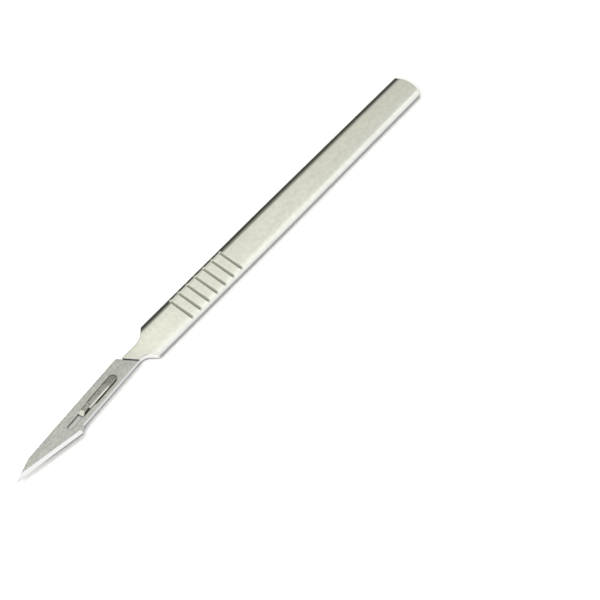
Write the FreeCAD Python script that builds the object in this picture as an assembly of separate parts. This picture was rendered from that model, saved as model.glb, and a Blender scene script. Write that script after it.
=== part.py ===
# Scalpel: a flat steel handle whose bayonet nose carries a detachable pointed blade.
# Millimetres. X runs from the blade's point to the butt of the handle, +Y is the spine side,
# +Z is up, and the origin is under the middle of the whole scalpel's box, on the table.
import FreeCAD, Part
import math
import os

# Handle bar: faces that fall away towards the long edges, and upright sides with small corners
BAR_THICKNESS = 2.1
BAR_LENGTH = 90.5
BAR_WIDTH = 8.85
BAR_WIDTH_BUTT = 8.05
TAPER_START = 41.0
CROWN_RUN = 1.6
CROWN_RADIUS = 3.5
SIDE_CORNER_RADIUS = 0.25
BUTT_RADIUS = 6.5
BUTT_EDGE_BREAK = 0.25

# Finger grip: cross grooves in both faces
GROOVE_COUNT = 7
GROOVE_PITCH = 2.81
GROOVE_RADIUS = 0.43
GROOVE_DEPTH = 0.2
FIRST_GROOVE = 9.4

# Neck behind the blade's tail, and the flares that open from it to the full width of the bar
NECK_LENGTH = 6.3
NECK_SPINE_SIDE = 1.8
NECK_EDGE_SIDE = 1.5
SPINE_FLARE_ANGLE = 46.0
SPINE_FLARE_RADIUS = 5.0
SPINE_CORNER_X = 0.1
EDGE_FLARE_ANGLE = 54.0
EDGE_FLARE_RADIUS = 2.4
EDGE_CORNER_X = -2.66

# Nose plate under the blade, turned from the bar's axis towards the cutting edge
NOSE_TURN = 4.5
NOSE_REACH = 17.2
NOSE_WIDTH = 4.0
NOSE_TIP_ROUND = 1.5
NOSE_WAIST_LENGTH = 2.2
SEAT_HEIGHT = 1.2

# Bayonet lug that stands through the blade's slot
LUG_BACK_Y = 0.1
LUG_LENGTH = 12.3
LUG_WIDTH_BACK = 1.85
LUG_WIDTH_FRONT = 1.7
LUG_CHAMFER = 0.3
LUG_FRONT_BEVEL = 1.1
LUG_BACK_RAMP = 3.0
LUG_BACK_DROP = 0.3
LUG_END_FLAT = 0.18
LUG_FRONT_ROUND = 0.42

# Blade, drawn with its point at x = 0 and its spine along y = 0
BLADE_THICKNESS = 0.4
BLADE_LENGTH = 40.4
SPINE_TO_POINT = 1.75
POINT_FACET_LENGTH = 6.4
CUTTING_EDGE_LENGTH = 18.7
CUTTING_EDGE_ANGLE = 14.3
HEEL_RUN = 1.8
TANG_WIDTH = 5.3
TAIL_SLANT = 29.0
TAIL_ROUND = 0.25
HEEL_ROUND = 0.5

# Slot of the blade, placed from its tail: wide behind, narrow in front
SLOT_TO_TAIL = 6.3
SLOT_WIDE_LENGTH = 9.1
SLOT_NARROW_LENGTH = 7.7
SLOT_CENTRE = 2.7
SLOT_WIDE = 2.25
SLOT_NARROW = 1.3
SLOT_RAMP = 1.2
SLOT_CORNER = 0.15
SLOT_END_FLAT = 0.1

# Ground bevels, equal on both faces of the blade
BEVEL_WIDTH = 1.28
BEVEL_LAND = 0.1
HONED_WIDTH = 0.18
TANG_BREAK_WIDTH = 0.55
TANG_BREAK_DEPTH = 0.13

# Clearances between the blade and the handle
LUG_BACK_GAP = 0.35
LUG_STEM_GAP = 0.1
LUG_HOOK_GAP = 0.05
TAIL_GAP = 0.1

# Tools reach this far past what they cut
OVERCUT = 2.0

BLADE_TOP = SEAT_HEIGHT + BLADE_THICKNESS
SLOT_BACK = BLADE_LENGTH - SLOT_TO_TAIL
SLOT_STEP = SLOT_BACK - SLOT_WIDE_LENGTH
SLOT_FRONT = SLOT_STEP - SLOT_NARROW_LENGTH
TURN = math.radians(NOSE_TURN)
# the lug stands as far ahead of the neck as the blade reaches behind its slot
TAIL_REACH = SLOT_TO_TAIL + LUG_BACK_GAP
TAIL_CORNER_SIDE = TANG_WIDTH - SLOT_CENTRE
LUG_BACK_X = -NECK_LENGTH - TAIL_REACH * math.cos(TURN) - TAIL_CORNER_SIDE * math.sin(TURN)


def point(x, y, z=0.0):
    return FreeCAD.Vector(x, y, z)


def rounded_outline(corners, z):
    """Closed wire through corners (x, y, radius), each corner rounded by its radius."""
    legs = []
    count = len(corners)
    for i, (x, y, radius) in enumerate(corners):
        here = point(x, y, z)
        before = point(*corners[i - 1][:2], z) - here
        after = point(*corners[(i + 1) % count][:2], z) - here
        before.normalize()
        after.normalize()
        half_angle = before.getAngle(after) / 2
        setback = radius / math.tan(half_angle)
        bisector = before + after
        bisector.normalize()
        centre = here + bisector * (radius / math.sin(half_angle))
        legs.append((here + before * setback, centre - bisector * radius, here + after * setback, radius))
    edges = []
    for i, (start, middle, end, radius) in enumerate(legs):
        if radius > 0:
            edges.append(Part.Arc(start, middle, end).toShape())
        edges.append(Part.LineSegment(end, legs[(i + 1) % count][0]).toShape())
    return Part.Wire(edges)


def plate(wire, thickness):
    return Part.Face(wire).extrude(point(0, 0, thickness))


def prism_along(start, end, profile, overrun):
    """Prism whose profile (inward offset, z) runs along the line start to end, inward on its left."""
    along = end - start
    along.normalize()
    inward = point(-along.y, along.x)
    first = start - along * overrun
    corners = [first + inward * offset + point(0, 0, z) for offset, z in profile]
    face = Part.Face(Part.makePolygon(corners + corners[:1]))
    return face.extrude(along * ((end - start).Length + 2 * overrun))


def crown_stations():
    """Points (out, up) from a face's flat out to the side: the crown's arc, then the corner's."""
    half_height = BAR_THICKNESS / 2
    # the crown leaves the flat level, and the corner brings it on to the upright side
    reach = CROWN_RUN - SIDE_CORNER_RADIUS
    joint_angle = math.acos(reach / (CROWN_RADIUS - SIDE_CORNER_RADIUS))
    crown_centre = half_height - CROWN_RADIUS
    corner_centre = crown_centre + (CROWN_RADIUS - SIDE_CORNER_RADIUS) * math.sin(joint_angle)
    stations = []
    for angle in (math.pi / 2, (math.pi / 2 + joint_angle) / 2, joint_angle):
        stations.append((CROWN_RADIUS * math.cos(angle), crown_centre + CROWN_RADIUS * math.sin(angle)))
    for angle in (joint_angle / 2, 0.0):
        out = reach + SIDE_CORNER_RADIUS * math.cos(angle)
        stations.append((out, corner_centre + SIDE_CORNER_RADIUS * math.sin(angle)))
    return stations


def long_edge(x, y, side):
    """Edges of the bar's side in section, from its lower flat to its upper one, and their two ends."""
    stations = [(out, -up) for out, up in crown_stations()] + crown_stations()[::-1]
    marks = [point(x, y + side * (out - CROWN_RUN), BAR_THICKNESS / 2 + up) for out, up in stations]
    edges = [Part.Arc(*marks[i:i + 3]).toShape() for i in (0, 2, 5, 7)]
    edges.insert(2, Part.LineSegment(marks[4], marks[5]).toShape())
    return edges, marks[0], marks[-1]


def edge_prism(start, end, side):
    """Prism along X with the section of half the bar."""
    edges, low, high = long_edge(start, side * BAR_WIDTH / 2, side)
    inner = -side * OVERCUT
    corners = [high, point(start, inner, high.z), point(start, inner, low.z), low]
    section = Part.Wire(edges + Part.makePolygon(corners).Edges)
    return Part.Face(section).extrude(point(end - start, 0))


def bar_half(side):
    """Half of the bar: its long edge runs parallel, then turns in towards the butt at a mitre."""
    corner = point(TAPER_START, side * BAR_WIDTH / 2)
    up = point(0, 0, 1)
    narrowing = (BAR_WIDTH - BAR_WIDTH_BUTT) / 2
    turn = -side * math.degrees(math.atan(narrowing / (BAR_LENGTH - TAPER_START)))
    front = edge_prism(LUG_BACK_X - NOSE_REACH - OVERCUT, TAPER_START + OVERCUT, side)
    rear = edge_prism(TAPER_START - OVERCUT, BAR_LENGTH + OVERCUT, side)
    rear.rotate(corner, up, turn)
    behind = Part.makeBox(BAR_LENGTH, 2 * BAR_WIDTH, BAR_THICKNESS, point(TAPER_START, -BAR_WIDTH))
    behind.rotate(corner, up, turn / 2)
    return front.cut(behind).fuse(rear.common(behind))


def make_bar():
    """Tapered bar with rounded long edges."""
    return bar_half(1).fuse(bar_half(-1)).removeSplitter()


def nose_to_handle(shape):
    """Places a shape drawn from the lug's back end, along the turned nose, on the handle."""
    shape.rotate(point(0, 0, 0), point(0, 0, 1), NOSE_TURN)
    shape.translate(point(LUG_BACK_X, LUG_BACK_Y))
    return shape


def nose_point(x, y):
    """Handle coordinates of a point given along the turned nose."""
    return (
        LUG_BACK_X + x * math.cos(TURN) - y * math.sin(TURN),
        LUG_BACK_Y + x * math.sin(TURN) + y * math.cos(TURN),
    )


def meet_height(start, angle, height):
    """The x at which a line from start, at an angle to the X axis, reaches y = height."""
    return start[0] + (height - start[1]) / math.tan(math.radians(angle))


def make_outline():
    """Plan of the handle in front of the butt: nose, neck and flares, as one plate."""
    half_nose = NOSE_WIDTH / 2
    full = BAR_WIDTH / 2 + OVERCUT
    spine_corner = (SPINE_CORNER_X, BAR_WIDTH / 2)
    spine_foot = meet_height(spine_corner, SPINE_FLARE_ANGLE, NECK_SPINE_SIDE)
    spine_top = meet_height(spine_corner, SPINE_FLARE_ANGLE, full)
    edge_corner = (EDGE_CORNER_X, -BAR_WIDTH / 2)
    edge_foot = meet_height(edge_corner, -EDGE_FLARE_ANGLE, -NECK_EDGE_SIDE)
    edge_top = meet_height(edge_corner, -EDGE_FLARE_ANGLE, -full)
    tail_x = tail_line()[1].x
    waist_back = tail_x - TAIL_GAP
    waist_front = nose_point(waist_back - LUG_BACK_X - NOSE_WAIST_LENGTH, half_nose)
    edge_side = nose_point(0.0, -half_nose)
    # where the nose's cutting-edge side runs into the neck's
    neck_start = edge_side[0] + (-NECK_EDGE_SIDE - edge_side[1]) / math.tan(TURN)
    corners = [
        (*nose_point(-NOSE_REACH, half_nose), NOSE_TIP_ROUND),
        (*nose_point(-NOSE_REACH, -half_nose), NOSE_TIP_ROUND),
        (neck_start, -NECK_EDGE_SIDE, NECK_EDGE_SIDE),
        (edge_foot, -NECK_EDGE_SIDE, EDGE_FLARE_RADIUS),
        (edge_top, -full, 0.0),
        (BAR_LENGTH + OVERCUT, -full, 0.0),
        (BAR_LENGTH + OVERCUT, full, 0.0),
        (spine_top, full, 0.0),
        (spine_foot, NECK_SPINE_SIDE, SPINE_FLARE_RADIUS),
        (waist_back, NECK_SPINE_SIDE, NECK_SPINE_SIDE),
        (*waist_front, NECK_SPINE_SIDE),
    ]
    return plate(rounded_outline(corners, -OVERCUT), BAR_THICKNESS + 2 * OVERCUT)


def butt_trim():
    """What lies behind the arc of the butt, whose rims are broken."""
    centre = point(BAR_LENGTH - BUTT_RADIUS, 0)
    disc = Part.makeCylinder(BUTT_RADIUS, BAR_THICKNESS, centre)
    rims = [edge for edge in disc.Edges if edge.Closed]
    disc = disc.makeChamfer(BUTT_EDGE_BREAK, rims)
    corner = centre - point(0, BUTT_RADIUS, OVERCUT)
    block = Part.makeBox(BUTT_RADIUS + 2 * OVERCUT, 2 * BUTT_RADIUS, BAR_THICKNESS + 2 * OVERCUT, corner)
    return block.cut(disc)


def grip_grooves():
    """Round-bottomed cross grooves on both faces."""
    tools = []
    half_length = BAR_WIDTH / 2 + OVERCUT
    offset = GROOVE_RADIUS - GROOVE_DEPTH
    for i in range(GROOVE_COUNT):
        x = FIRST_GROOVE + i * GROOVE_PITCH
        for z in (BAR_THICKNESS + offset, -offset):
            foot = point(x, -half_length, z)
            tools.append(Part.makeCylinder(GROOVE_RADIUS, 2 * half_length, foot, point(0, 1, 0)))
    return tools


def blade_in_nose(shape):
    """Places a shape from the blade's own drawing on the nose: slot over the lug, face on the seat."""
    shape.translate(point(LUG_BACK_GAP - SLOT_BACK, SLOT_CENTRE, SEAT_HEIGHT))
    return nose_to_handle(shape)


def tail_line():
    """Ends of the blade's slanted tail, cutting-edge side first, in handle coordinates."""
    low = nose_point(TAIL_REACH, -TAIL_CORNER_SIDE)
    high = nose_point(TAIL_REACH - TANG_WIDTH * math.tan(math.radians(TAIL_SLANT)), SLOT_CENTRE)
    return point(*low), point(*high)


def seat_pocket():
    """Clears the nose above the seat, back to a shoulder that runs along the blade's tail."""
    low, high = tail_line()
    along = high - low
    along.normalize()
    behind = point(along.y, -along.x)
    reach = BAR_WIDTH
    low = low - along * reach + behind * TAIL_GAP
    high = high + along * reach + behind * TAIL_GAP
    forward = point(-NOSE_REACH - BLADE_LENGTH, 0)
    corners = [low, high, high + forward, low + forward, low]
    wire = Part.makePolygon([corner + point(0, 0, SEAT_HEIGHT) for corner in corners])
    return Part.Face(wire).extrude(point(0, 0, BAR_THICKNESS))


def lug_section(x, width):
    """Cross section of the lug at x, with both top edges chamfered."""
    half = width / 2
    # the foot reaches into the plate, so that the lug and the nose are one piece
    foot = SEAT_HEIGHT / 2
    shoulder = BAR_THICKNESS - LUG_CHAMFER
    outline = [
        (-half, foot), (half, foot), (half, shoulder), (half - LUG_CHAMFER, BAR_THICKNESS),
        (-half + LUG_CHAMFER, BAR_THICKNESS), (-half, shoulder), (-half, foot),
    ]
    return Part.makePolygon([point(x, y, z) for y, z in outline])


def side_wedge(profile, half_width):
    """Prism across the lug with a profile given as (x, z)."""
    corners = [point(x, -half_width, z) for x, z in profile]
    face = Part.Face(Part.makePolygon(corners + corners[:1]))
    return face.extrude(point(0, 2 * half_width, 0))


def make_lug():
    """Bar through the slot: round back end, bevelled front, hooked over the slot's narrow part."""
    bar = Part.makeLoft(
        [lug_section(-LUG_LENGTH, LUG_WIDTH_FRONT), lug_section(0.0, LUG_WIDTH_BACK)], True, True)
    half = LUG_WIDTH_BACK / 2
    back_round = half - LUG_END_FLAT / 2
    plan = rounded_outline([
        (-LUG_LENGTH, -half, LUG_FRONT_ROUND),
        (0.0, -half, back_round),
        (0.0, half, back_round),
        (-LUG_LENGTH, half, LUG_FRONT_ROUND),
    ], 0.0)
    lug = bar.common(plate(plan, BAR_THICKNESS))
    front_bevel = [
        (-LUG_LENGTH, BLADE_TOP + LUG_HOOK_GAP),
        (-LUG_LENGTH + LUG_FRONT_BEVEL, BAR_THICKNESS),
        (-LUG_LENGTH, BAR_THICKNESS + OVERCUT),
        (-LUG_LENGTH - OVERCUT, BAR_THICKNESS + OVERCUT),
        (-LUG_LENGTH - OVERCUT, BLADE_TOP + LUG_HOOK_GAP),
    ]
    back_ramp = [
        (-LUG_BACK_RAMP, BAR_THICKNESS),
        (0.0, BAR_THICKNESS - LUG_BACK_DROP),
        (OVERCUT, BAR_THICKNESS - LUG_BACK_DROP),
        (OVERCUT, BAR_THICKNESS + OVERCUT),
        (-LUG_BACK_RAMP, BAR_THICKNESS + OVERCUT),
    ]
    lug = lug.cut([side_wedge(front_bevel, half + OVERCUT), side_wedge(back_ramp, half + OVERCUT)])
    return lug.cut(hook_grooves())


def hook_grooves():
    """Slits under the lug's front, in which the edges of the slot's narrow part run."""
    stem_half = SLOT_NARROW / 2 - LUG_STEM_GAP
    back = SLOT_STEP + SLOT_RAMP - SLOT_BACK + LUG_BACK_GAP
    length = back + LUG_LENGTH + OVERCUT
    height = BLADE_THICKNESS + LUG_HOOK_GAP
    slits = []
    for side_start in (stem_half, -stem_half - OVERCUT):
        corner = point(-LUG_LENGTH - OVERCUT, side_start, SEAT_HEIGHT)
        slits.append(Part.makeBox(length, OVERCUT, height, corner))
    front = point(-LUG_LENGTH - OVERCUT, -OVERCUT, SEAT_HEIGHT)
    slits.append(Part.makeBox(OVERCUT + LUG_STEM_GAP, 2 * OVERCUT, height, front))
    return slits


def make_handle():
    """One piece of steel: bar, grip, flares, neck and bayonet nose."""
    handle = make_bar().cut(butt_trim())
    handle = handle.common(make_outline())
    handle = handle.cut(grip_grooves())
    handle = handle.cut(seat_pocket())
    handle = handle.fuse(nose_to_handle(make_lug()))
    return handle.removeSplitter()


def blade_corners():
    """Outline of the blade, from the point along the cutting edge to the tail and back on the spine."""
    angle = math.radians(CUTTING_EDGE_ANGLE)
    heel_x = CUTTING_EDGE_LENGTH * math.cos(angle)
    heel_y = -SPINE_TO_POINT - CUTTING_EDGE_LENGTH * math.sin(angle)
    tail_top = BLADE_LENGTH - TANG_WIDTH * math.tan(math.radians(TAIL_SLANT))
    return [
        (0.0, -SPINE_TO_POINT, 0.0),
        (heel_x, heel_y, 0.0),
        (heel_x + HEEL_RUN, -TANG_WIDTH, HEEL_ROUND),
        (BLADE_LENGTH, -TANG_WIDTH, TAIL_ROUND),
        (tail_top, 0.0, TAIL_ROUND),
        (POINT_FACET_LENGTH, 0.0, 0.0),
    ]


def slot_outline():
    """Keyhole slot: a sharp step on the spine side and a ramp on the other."""
    wide = SLOT_WIDE / 2
    narrow = SLOT_NARROW / 2
    front_round = narrow - SLOT_END_FLAT / 2
    back_round = wide - SLOT_END_FLAT / 2
    corners = [
        (SLOT_FRONT, -narrow, front_round),
        (SLOT_STEP, -narrow, SLOT_CORNER),
        (SLOT_STEP + SLOT_RAMP, -wide, SLOT_CORNER),
        (SLOT_BACK, -wide, back_round),
        (SLOT_BACK, wide, back_round),
        (SLOT_STEP, wide, SLOT_CORNER),
        (SLOT_STEP, narrow, SLOT_CORNER),
        (SLOT_FRONT, narrow, front_round),
    ]
    return rounded_outline([(x, y - SLOT_CENTRE, radius) for x, y, radius in corners], 0.0)


def grind(start, end, width, depth, overrun):
    """Two wedges that grind a bevel along an edge, one from each face of the blade."""
    slope = depth / width
    top = BLADE_THICKNESS
    upper = [(width, top), (-OVERCUT, top - depth - slope * OVERCUT), (-OVERCUT, top + OVERCUT),
             (width, top + OVERCUT)]
    lower = [(offset, BLADE_THICKNESS - z) for offset, z in upper]
    return [prism_along(start, end, profile, overrun) for profile in (upper, lower)]


def make_blade():
    """Stamped strip with a keyhole slot, a ground and honed cutting edge and a slanted tail."""
    corners = blade_corners()
    blank = plate(rounded_outline(corners, 0.0), BLADE_THICKNESS)
    blank = blank.cut(plate(slot_outline(), BLADE_THICKNESS))
    tip, heel, notch, tail = [point(x, y) for x, y, _ in corners[:4]]
    tools = grind(tip, heel, BEVEL_WIDTH, (BLADE_THICKNESS - BEVEL_LAND) / 2, OVERCUT)
    # the honed edge turns the last of the bevel down to a line
    honed_slope = BEVEL_LAND / 2 / HONED_WIDTH
    honed_width = BLADE_THICKNESS / 2 / honed_slope
    tools += grind(tip, heel, honed_width, BLADE_THICKNESS / 2, OVERCUT)
    tools += grind(notch, tail, TANG_BREAK_WIDTH, TANG_BREAK_DEPTH, 0.0)
    return blade_in_nose(blank.cut(tools).removeSplitter())


def main():
    pieces = {"handle": make_handle(), "blade": make_blade()}
    boxes = [shape.optimalBoundingBox(False) for shape in pieces.values()]
    box = boxes[0].united(boxes[1])
    to_origin = point(-box.Center.x, 0)
    os.makedirs("parts", exist_ok=True)
    for name, shape in pieces.items():
        shape.translate(to_origin)
        solid = shape.Solids[0]
        box = solid.optimalBoundingBox(False)
        print(name, "solids", len(shape.Solids), "valid", shape.isValid(), "volume", round(shape.Volume, 2))
        print("  from", round(box.XMin, 3), round(box.YMin, 3), round(box.ZMin, 3))
        print("  to  ", round(box.XMax, 3), round(box.YMax, 3), round(box.ZMax, 3))
        solid.exportStep("parts/" + name + ".step")


main()
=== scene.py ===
import math

import bpy
from mathutils import Matrix, Vector


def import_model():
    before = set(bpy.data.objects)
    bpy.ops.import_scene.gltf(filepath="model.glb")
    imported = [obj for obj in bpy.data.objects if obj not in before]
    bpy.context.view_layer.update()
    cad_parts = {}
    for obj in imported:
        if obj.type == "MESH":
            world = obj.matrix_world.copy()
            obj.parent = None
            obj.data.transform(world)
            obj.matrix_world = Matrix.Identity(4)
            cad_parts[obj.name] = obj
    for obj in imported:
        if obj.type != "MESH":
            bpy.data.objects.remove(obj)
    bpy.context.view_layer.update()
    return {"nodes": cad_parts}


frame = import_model()

MM = 0.001

# Places along the scalpel (X), from the butt to the point: the grip's first groove, the neck, the
# nose under the blade with its lug, and the heel where the ground bevel starts
CROWN_FADE = (-18.0 * MM, 12.0 * MM)
GROOVE_START = -12.42 * MM
GROOVE_PITCH = 2.81 * MM
GROOVE_COUNT = 7
NECK_TONE = (-31.0 * MM, -22.0 * MM)
NECK_END = -24.6 * MM
# Over these places the nose's sides, painted darker as shade beside the tang, fade to the neck's
# lighter sides
SIDE_SHADE_FADE = (-31.0 * MM, -28.0 * MM)
NOSE_END = -33.0 * MM
LUG_BACK = -35.0 * MM
# The lug's back end, over which its bevels take the top's tone and its walls a lighter painted shade
LUG_BACK_END = (-38.3 * MM, -37.3 * MM)
HOOK_BACK = -44.4 * MM
HEEL_X = -49.9 * MM
HONED_FADE = (-65.0 * MM, -56.0 * MM)

# Half the width of the painted shade along a groove's floor and how far it reaches from the middle,
# each with its soft edge, and how much it narrows towards the far side
GROOVE_SHADE_HALF_WIDTH = (0.22 * MM, 0.34 * MM)
GROOVE_REACH = (3.3 * MM, 3.8 * MM)
GROOVE_NARROWING = 0.018

# Heights: the painted shade at the foot and the top of the neck's sides, the nose over its
# underside, and the lug over the nose
RIM_LOW = (0.2 * MM, 0.7 * MM)
RIM_HIGH = (1.5 * MM, 2.0 * MM)
NOSE_Z = (1.1 * MM, 1.15 * MM)
LUG_Z = (1.25 * MM, 1.35 * MM)

# Polishing has broken the sharp outlines by this radius and crowned the faces by this slope, less so
# at the butt; between the grooves the far side of the crown is worn flat
EDGE_BREAK = 0.18 * MM
CROWN_SLOPE = 0.045
CROWN_REACH = 3.0 * MM
BUTT_SHARE = 0.65
WORN = (2.2 * MM, 3.75 * MM)
WORN_SHARE = 0.7

# How upright the faces are, by the share of their normal that points up: from the first value, where
# a tone starts, to the second, where it is full; several of these tones are painted shade and
# painted highlights
UP_SIDE = (0.45, 0.15)
UP_LUG_BEVEL = (0.97, 0.90)
UP_LUG_WALL = (0.5, 0.3)
UP_GROUND = (0.9985, 0.9965)
UP_TANG_EDGE = (0.99, 0.98)
UP_HONED = (0.98, 0.975)
UP_SHEARED = (0.5, 0.2)

# Tones of the handle's steel, and the painted shade on it
SATIN = (0.80, 0.805, 0.755)
# Painted dark on the bar's upright sides, standing for the reflection of the shaded floor at their
# foot
SIDE_SHADED_REFLECTION = (0.32, 0.32, 0.325, 1)
# Painted shade at the foot and the top of the neck's sides
SIDE_RIM_SHADE = (0.36, 0.36, 0.37, 1)
# The nose's sides, painted darker as shade beside the tang
SIDE_NOSE_SHADE = (0.45, 0.45, 0.46, 1)
SIDE_NECK = (0.80, 0.80, 0.80, 1)
# Painted shade in the grooves' floors
GROOVE_SHADE = (0.31, 0.315, 0.26, 1)
# The nose plate painted darker as shade where it shows through the slot, and more in the gap at the
# blade's tail
PLATE_SHADE_UNDER_SLOT = (0.62, 0.62, 0.62, 1)
PLATE_SHADE_UNDER_TAIL = (0.40, 0.40, 0.36, 1)
LUG_TOP = (0.385, 0.375, 0.35)
LUG_BEVEL = (0.84, 0.83, 0.74, 1)
# The lug's walls painted near black as shade in its gaps and under its front overhang, and lighter
# shade across its back end
LUG_WALL_SHADE = (0.05, 0.05, 0.04, 1)
LUG_BACK_WALL_SHADE = (0.30, 0.30, 0.28, 1)

# Tones of the blade's steel, and the painted highlights, reflections and shade on it
BLADE_FACE = (0.485, 0.49, 0.48)
# The ground bevel's painted highlight
GROUND_BEVEL_HIGHLIGHT = (0.76, 0.765, 0.80, 1)
# Painted highlight along the tang's broken near edge
TANG_EDGE_HIGHLIGHT = (0.63, 0.63, 0.64, 1)
# The honed edge's painted reflection, light near the point and dark towards the heel
HONED_LIGHT_NEAR_POINT = (0.85, 0.85, 0.83, 1)
HONED_DARK_TOWARDS_HEEL = (0.36, 0.36, 0.35, 1)
# The sheared walls: dark, partly their rough cut and partly painted shade that stands for the shaded
# floor they reflect
SHEARED_AND_SHADED = (0.17, 0.17, 0.165, 1)


class Nodes:
    """Node tree of a material or of the world."""

    def __init__(self, owner):
        owner.use_nodes = True
        self.tree = owner.node_tree
        self.tree.nodes.clear()

    def put(self, socket, value):
        if isinstance(value, bpy.types.NodeSocket):
            self.tree.links.new(value, socket)
        else:
            socket.default_value = value

    def node(self, kind, inputs=None, **settings):
        n = self.tree.nodes.new(kind)
        for key, value in settings.items():
            setattr(n, key, value)
        for key, value in (inputs or {}).items():
            self.put(n.inputs[key], value)
        return n

    def math(self, operation, a, b=0.0):
        return self.node("ShaderNodeMath", {0: a, 1: b}, operation=operation).outputs[0]

    def times(self, first, *others):
        for other in others:
            first = self.math("MULTIPLY", first, other)
        return first

    def vector(self, operation, a, b=(0, 0, 0)):
        return self.node("ShaderNodeVectorMath", {0: a, 1: b}, operation=operation).outputs[0]

    def ramp(self, value, low, high, to_low=0.0, to_high=1.0):
        return self.node(
            "ShaderNodeMapRange",
            {"Value": value, "From Min": low, "From Max": high, "To Min": to_low, "To Max": to_high},
            interpolation_type="SMOOTHSTEP", clamp=True).outputs[0]

    def inside(self, value, low, high, soft):
        """1 between low and high, with soft ends."""
        rise = self.ramp(value, low - soft, low + soft)
        fall = self.ramp(value, high - soft, high + soft, 1.0, 0.0)
        return self.times(rise, fall)

    def mix(self, factor, a, b):
        return self.node("ShaderNodeMix", {0: factor, 6: a, 7: b}, data_type="RGBA").outputs[2]

    def tint(self, colour, factor):
        return self.node("ShaderNodeVectorMath", {0: colour, 3: factor},
                         operation="SCALE").outputs[0]

    def position(self):
        return self.node("ShaderNodeNewGeometry").outputs["Position"]

    def noise(self, scale, detail=3.0, rough=0.6):
        """Noise in space, with its own scale along each axis."""
        place = self.vector("MULTIPLY", self.position(), scale)
        return self.node("ShaderNodeTexNoise", {"Vector": place, "Scale": 1.0, "Detail": detail,
                                                "Roughness": rough}).outputs["Fac"]


class Surface(Nodes):
    """Material with one principled shader."""

    def __init__(self, name):
        self.material = bpy.data.materials.new(name)
        super().__init__(self.material)
        self.shader = self.node("ShaderNodeBsdfPrincipled")
        self.node("ShaderNodeOutputMaterial", {"Surface": self.shader.outputs["BSDF"]})


class Steel(Surface):
    """Satin steel, whose tone and finish vary a little from place to place, with painted shade and
    highlights set by place.
    """

    def __init__(self, name):
        super().__init__(name)
        self.xyz = self.node("ShaderNodeSeparateXYZ", {0: self.position()}).outputs
        flat = self.node("ShaderNodeNewGeometry").outputs["True Normal"]
        self.facing = self.node("ShaderNodeSeparateXYZ", {0: flat}).outputs
        self.up = self.math("ABSOLUTE", self.facing[2])
        self.across = self.math("ABSOLUTE", self.facing[1])
        self.normal = self.node("ShaderNodeBevel", {"Radius": EDGE_BREAK}, samples=8).outputs[0]

    def crown(self, x, y):
        """Leans the normal outwards towards the long edges, less so towards the butt."""
        share = self.math("DIVIDE", y, CROWN_REACH)
        share = self.math("MAXIMUM", self.math("MINIMUM", share, 1.0), -1.0)
        slope = self.ramp(x, *CROWN_FADE, CROWN_SLOPE, BUTT_SHARE * CROWN_SLOPE)
        cubed = self.math("POWER", self.math("ABSOLUTE", share), 3.0)
        lean = self.times(cubed, slope, self.math("SIGN", y), self.up)
        lean = self.node("ShaderNodeCombineXYZ", {"Y": lean}).outputs[0]
        self.normal = self.vector("NORMALIZE", self.vector("ADD", self.normal, lean))

    def flatten(self, share):
        """Turns the normal back upright across the bar by this share."""
        rest = self.math("SUBTRACT", 1.0, share)
        keep = self.node("ShaderNodeCombineXYZ", {"X": 1.0, "Y": rest, "Z": 1.0}).outputs[0]
        self.normal = self.vector("NORMALIZE", self.vector("MULTIPLY", self.normal, keep))

    def finish(self, colour, roughness, height, depth):
        self.put(self.shader.inputs["Base Color"], colour)
        self.shader.inputs["Metallic"].default_value = 1.0
        self.put(self.shader.inputs["Roughness"], roughness)
        bump = self.node("ShaderNodeBump", {"Height": height, "Strength": 1.0, "Distance": depth,
                                            "Normal": self.normal})
        self.put(self.shader.inputs["Normal"], bump.outputs[0])
        return self.material


def handle_side(n, x, z):
    """The bar's upright sides are painted dark, as a painted reflection of the shaded floor at their
    foot; the neck's and nose's sides are lighter, with painted shade at their foot and top, and the
    nose's darker still as painted shade beside the tang.
    """
    # rim is 1 on the middle of the neck's and nose's sides and 0 where they are painted darker as
    # shade: at their foot, and at the top of the faces that look across the bar
    rim = n.ramp(z, *RIM_HIGH, 1.0, 0.0)
    rim = n.math("MAXIMUM", rim, n.ramp(n.across, 0.75, 0.6))
    rim = n.times(rim, n.ramp(z, *RIM_LOW))
    bright = n.mix(rim, SIDE_RIM_SHADE, n.mix(n.ramp(x, *SIDE_SHADE_FADE), SIDE_NOSE_SHADE, SIDE_NECK))
    # behind the neck the bar's sides are painted dark, standing for the shaded floor at their foot
    # that they reflect
    return n.mix(n.ramp(x, NECK_END - 0.3 * MM, NECK_END + 0.3 * MM), bright, SIDE_SHADED_REFLECTION)


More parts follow.
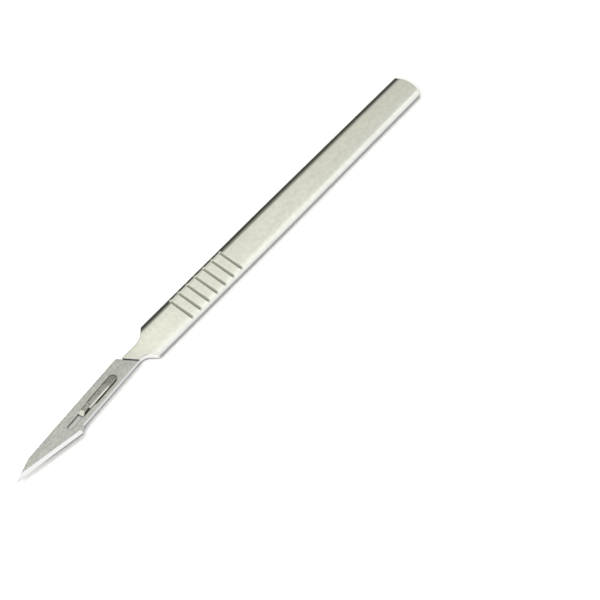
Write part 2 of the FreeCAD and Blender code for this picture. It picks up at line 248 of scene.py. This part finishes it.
def handle_nose(n, x, z):
    """The nose: a plate under the blade, painted darker as shade under the slot and in the gap at
    the blade's tail, and a lug with a scratched top, bare bevels, and walls painted near black as
    shade in its gaps.
    """
    behind_lug = n.ramp(x, LUG_BACK - 0.2 * MM, LUG_BACK + 0.1 * MM)
    # the plate's top is painted darker as shade: under the slot, and more in the gap behind the lug
    # at the blade's tail
    plate = n.mix(behind_lug, PLATE_SHADE_UNDER_SLOT, PLATE_SHADE_UNDER_TAIL)
    scratch = n.noise((2600.0, 2600.0, 2600.0))
    top = n.tint(LUG_TOP, n.ramp(scratch, 0.3, 0.7, 0.65, 1.35))
    # Over the lug's back end its bevels take the top's tone, and its walls that look across the bar
    # take a lighter painted shade
    back_end = n.ramp(x, *LUG_BACK_END)
    bevel = n.mix(back_end, LUG_BEVEL, top)
    # the lug's walls are painted near black as shade in its gaps
    wall = n.mix(n.times(back_end, n.across), LUG_WALL_SHADE, LUG_BACK_WALL_SHADE)
    lug = n.mix(n.ramp(n.up, *UP_LUG_BEVEL), top, bevel)
    lug = n.mix(n.ramp(n.up, *UP_LUG_WALL), lug, wall)
    # the near faces of the lug's front, under its overhang, are painted black as shadow
    hook_shadow = n.times(n.ramp(n.facing[1], -0.4, -0.6),
                   n.ramp(x, HOOK_BACK - 0.2 * MM, HOOK_BACK, 1.0, 0.0))
    return n.mix(n.ramp(z, *LUG_Z), plate, n.mix(hook_shadow, lug, LUG_WALL_SHADE))


def handle_steel():
    n = Steel("handle satin steel")
    x, y, z = n.xyz
    grain = n.noise((4200.0, 4200.0, 4200.0), 4.0, 0.7)
    blotch = n.noise((900.0, 900.0, 900.0), 2.0, 0.5)
    cloud = n.noise((110.0, 260.0, 260.0))
    tone = n.math("ADD", n.ramp(cloud, 0.3, 0.7, 0.97, 1.03),
                  n.ramp(grain, 0.25, 0.75, -0.05, 0.05))
    tone = n.math("ADD", tone, n.ramp(blotch, 0.3, 0.7, -0.03, 0.03))
    tone = n.times(tone, n.ramp(x, *NECK_TONE, 0.86, 1.0))
    colour = n.mix(n.ramp(n.up, *UP_SIDE), n.tint(SATIN, tone), handle_side(n, x, z))
    # the grooves' floors are painted dark, as shade in the grooves
    turns = n.math("DIVIDE", n.math("SUBTRACT", x, GROOVE_START), GROOVE_PITCH)
    off = n.math("ABSOLUTE", n.math("SUBTRACT", turns, n.math("ROUND", turns)))
    off = n.math("ADD", n.times(off, GROOVE_PITCH), n.times(y, GROOVE_NARROWING))
    groove = n.times(n.ramp(off, *GROOVE_SHADE_HALF_WIDTH, 1.0, 0.0),
                     n.inside(turns, -0.5, GROOVE_COUNT - 0.5, 0.1),
                     n.ramp(n.math("ABSOLUTE", y), *GROOVE_REACH, 1.0, 0.0))
    colour = n.mix(n.times(groove, 0.9), colour, GROOVE_SHADE)
    nose = n.times(n.ramp(x, NOSE_END - 0.5 * MM, NOSE_END, 1.0, 0.0), n.ramp(z, *NOSE_Z))
    colour = n.mix(nose, colour, handle_nose(n, x, z))
    rough = n.math("ADD", n.ramp(grain, 0.25, 0.75, 0.17, 0.23), n.times(nose, 0.15))
    n.crown(x, y)
    worn = n.times(n.inside(y, *WORN, 0.1 * MM), n.ramp(n.up, 0.6, 0.8),
                   n.inside(turns, 0.0, GROOVE_COUNT - 1.0, 0.06))
    n.flatten(n.times(worn, WORN_SHARE))
    return n.finish(colour, rough, grain, 0.003 * MM)


def blade_steel():
    n = Steel("blade ground steel")
    x = n.xyz[0]
    grain = n.noise((6000.0, 6000.0, 6000.0), 4.0, 0.7)
    mottle = n.noise((1500.0, 1500.0, 1500.0))
    streak = n.noise((260.0, 2600.0, 2600.0), 2.0, 0.5)
    tone = n.math("ADD", n.ramp(mottle, 0.3, 0.7, 0.9, 1.1),
                  n.ramp(grain, 0.25, 0.75, -0.06, 0.06))
    tone = n.math("ADD", tone, n.ramp(streak, 0.3, 0.7, -0.06, 0.06))
    before_heel = n.ramp(x, HEEL_X - 0.2 * MM, HEEL_X + 0.2 * MM, 1.0, 0.0)
    ground = n.times(n.ramp(n.up, *UP_GROUND), before_heel)
    honed = n.times(n.ramp(n.up, *UP_HONED), before_heel)
    tang_edge = n.times(n.ramp(n.up, *UP_TANG_EDGE), n.math("SUBTRACT", 1.0, before_heel))
    # the ground bevel before the heel gets a painted highlight
    colour = n.mix(ground, n.tint(BLADE_FACE, tone), GROUND_BEVEL_HIGHLIGHT)
    # the tang's broken near edge gets a painted highlight
    colour = n.mix(tang_edge, colour, TANG_EDGE_HIGHLIGHT)
    # the honed edge gets a painted reflection, light near the point and dark towards the heel
    colour = n.mix(honed, colour, n.mix(n.ramp(x, *HONED_FADE), HONED_LIGHT_NEAR_POINT, HONED_DARK_TOWARDS_HEEL))
    # the upright sheared walls are dark, partly from their rough cut and partly as painted shade for
    # the shaded floor they reflect
    colour = n.mix(n.ramp(n.up, *UP_SHEARED), colour, SHEARED_AND_SHADED)
    rough = n.ramp(grain, 0.25, 0.75, 0.22, 0.30)
    return n.finish(colour, rough, grain, 0.002 * MM)


def paint(node, material):
    mesh = frame["nodes"][node].data
    mesh.materials.clear()
    mesh.materials.append(material)


paint("handle", handle_steel())
paint("blade", blade_steel())

# Studio sky: its level and its share of blue by the angle over the scalpel, in degrees from the
# horizon on its far side (+Y), through overhead, to the near horizon
SKY = [(0, 0.02, 0.9), (30, 0.05, 0.9), (40, 0.14, 0.9), (48, 0.42, 0.9), (55, 0.87, 0.9),
       (60, 1.0, 0.9), (75, 1.12, 0.95), (88, 1.22, 0.99), (98, 1.10, 1.0), (108, 1.04, 1.01),
       (130, 1.0, 1.02), (155, 0.85, 1.02), (180, 0.65, 1.02)]
# The ramp holds levels up to 1, so it holds them halved and the background doubles them
SKY_SCALE = 2.0
# Between these angles the sky's level changes along X as well, by these factors at these directions
SIDE_RISE = (48, 56)
SIDE_FALL = (70, 86)
SIDE_FROM, SIDE_TO = 0.1, 0.65
SIDE_FACTOR_FROM, SIDE_FACTOR_TO = 1.48, 0.105
# The sky is this uneven only between these directions along X; elsewhere its halved level stays
# between the low and the high one
UNEVEN_FROM, UNEVEN_TO, UNEVEN_SOFT = 0.09, 0.53, 0.06
LOW_LEVEL = (0.30, 0.30, 0.285)
HIGH_LEVEL, HIGHEST_LEVEL = 0.40, 0.65
HIGH_TINT = (1.0, 1.0, 0.98)

FLOOR_SIZE = 6.0
FLOOR_DARK, FLOOR_LIGHT = (0.78, 0.78, 0.78, 1), (0.80, 0.80, 0.80, 1)


def floor():
    bpy.ops.mesh.primitive_plane_add(size=FLOOR_SIZE, location=(0, 0, 0))
    plane = bpy.context.object
    plane.name = "floor"
    n = Surface("white paper")
    cloud = n.noise((40.0, 40.0, 40.0), 2.0, 0.5)
    n.put(n.shader.inputs["Base Color"], n.mix(cloud, FLOOR_DARK, FLOOR_LIGHT))
    n.shader.inputs["Roughness"].default_value = 0.9
    n.shader.inputs["Specular IOR Level"].default_value = 0.2
    plane.data.materials.append(n.material)


def world():
    """Studio all round: bright overhead, dark low behind the scalpel."""
    studio = bpy.data.worlds.new("studio")
    bpy.context.scene.world = studio
    n = Nodes(studio)
    direction = n.node("ShaderNodeTexCoord").outputs["Generated"]
    x, y, z = n.node("ShaderNodeSeparateXYZ", {0: direction}).outputs
    over = n.math("DEGREES", n.math("ARCTAN2", z, y))
    sky = n.node("ShaderNodeValToRGB", {0: n.math("DIVIDE", over, 180.0)})
    elements = sky.color_ramp.elements
    elements.remove(elements[0])
    for i, (degrees, level, blue) in enumerate(SKY):
        element = elements[0] if i == 0 else elements.new(degrees / 180)
        element.position = degrees / 180
        level /= SKY_SCALE
        element.color = (level, level, level * blue, 1)
    uneven = n.inside(x, UNEVEN_FROM, UNEVEN_TO, UNEVEN_SOFT)
    low = n.tint(LOW_LEVEL, n.math("SUBTRACT", 1.0, uneven))
    high = n.math("ADD", HIGH_LEVEL, n.times(uneven, HIGHEST_LEVEL - HIGH_LEVEL))
    colour = n.vector("MAXIMUM", sky.outputs[0], low)
    colour = n.vector("MINIMUM", colour, n.tint(HIGH_TINT, high))
    along = n.node("ShaderNodeMapRange", {"Value": x, "From Min": SIDE_FROM, "From Max": SIDE_TO,
                                          "To Min": SIDE_FACTOR_FROM - 1,
                                          "To Max": SIDE_FACTOR_TO - 1}).outputs[0]
    band = n.times(n.ramp(over, *SIDE_RISE), n.ramp(over, *SIDE_FALL, 1.0, 0.0))
    factor = n.math("ADD", 1.0, n.times(along, band))
    background = n.node("ShaderNodeBackground",
                        {"Color": colour, "Strength": n.times(factor, SKY_SCALE)})
    n.node("ShaderNodeOutputWorld", {"Surface": background.outputs[0]})


def area(name, place, size, power, colour):
    """Lamp aimed at the scalpel, for the floor and its shadows; the steel shows the sky instead."""
    data = bpy.data.lights.new(name, "AREA")
    data.shape = "RECTANGLE"
    data.size, data.size_y = size
    data.energy = power
    data.color = colour
    lamp = bpy.data.objects.new(name, data)
    bpy.context.scene.collection.objects.link(lamp)
    lamp.location = place
    lamp.rotation_euler = (-Vector(place)).to_track_quat("-Z", "Y").to_euler()
    lamp.visible_glossy = False


floor()
world()
area("soft box", (-0.10, 0.20, 0.95), (1.0, 0.8), 6.8, (1.0, 0.975, 0.92))
area("fill", (-0.75, -0.50, 0.50), (0.9, 0.5), 7.2, (1.0, 0.98, 0.94))

bpy.context.scene.view_settings.view_transform = "Standard"

# Camera, in millimetres: its roll, tilt and distance and its focal length in pixels, over a table on
# which the scalpel's direction is turned by HEADING and its point lies at POINT_ON_TABLE, this far
# from the middle of its box
ROLL, TILT, HEADING = math.radians(-14.0), math.radians(-33.3), math.radians(-36.071252)
DISTANCE = 622.8
POINT_ON_TABLE = (-72.529026, 28.97111)
POINT_TO_MIDDLE = 68.67
FOCAL_PIXELS, PICTURE_PIXELS, SENSOR_WIDTH = 2700.0, 600.0, 36.0


def camera():
    roll = Matrix.Rotation(ROLL, 3, "Z")
    tilt = Matrix.Rotation(TILT, 3, "X")
    spin = roll @ tilt
    # the scalpel's x, y, z in the table's x and y and its depth
    cos, sin = math.cos(HEADING), math.sin(HEADING)
    turn = spin @ Matrix(((cos, sin, 0), (sin, -cos, 0), (0, 0, -1)))
    middle = Vector((POINT_ON_TABLE[0] + POINT_TO_MIDDLE * cos,
                     POINT_ON_TABLE[1] + POINT_TO_MIDDLE * sin, 0))
    shift = spin @ middle + Vector((0, 0, DISTANCE))
    place = -(turn.transposed() @ shift)
    to_camera = Matrix(((1, 0, 0), (0, -1, 0), (0, 0, -1))) @ turn
    data = bpy.data.cameras.new("camera")
    data.sensor_width = SENSOR_WIDTH
    data.lens = FOCAL_PIXELS / PICTURE_PIXELS * SENSOR_WIDTH
    data.clip_start, data.clip_end = 0.01, 50.0
    cam = bpy.data.objects.new("camera", data)
    bpy.context.scene.collection.objects.link(cam)
    cam.matrix_world = Matrix.Translation(place * MM) @ to_camera.transposed().to_4x4()
    bpy.context.scene.camera = cam


camera()
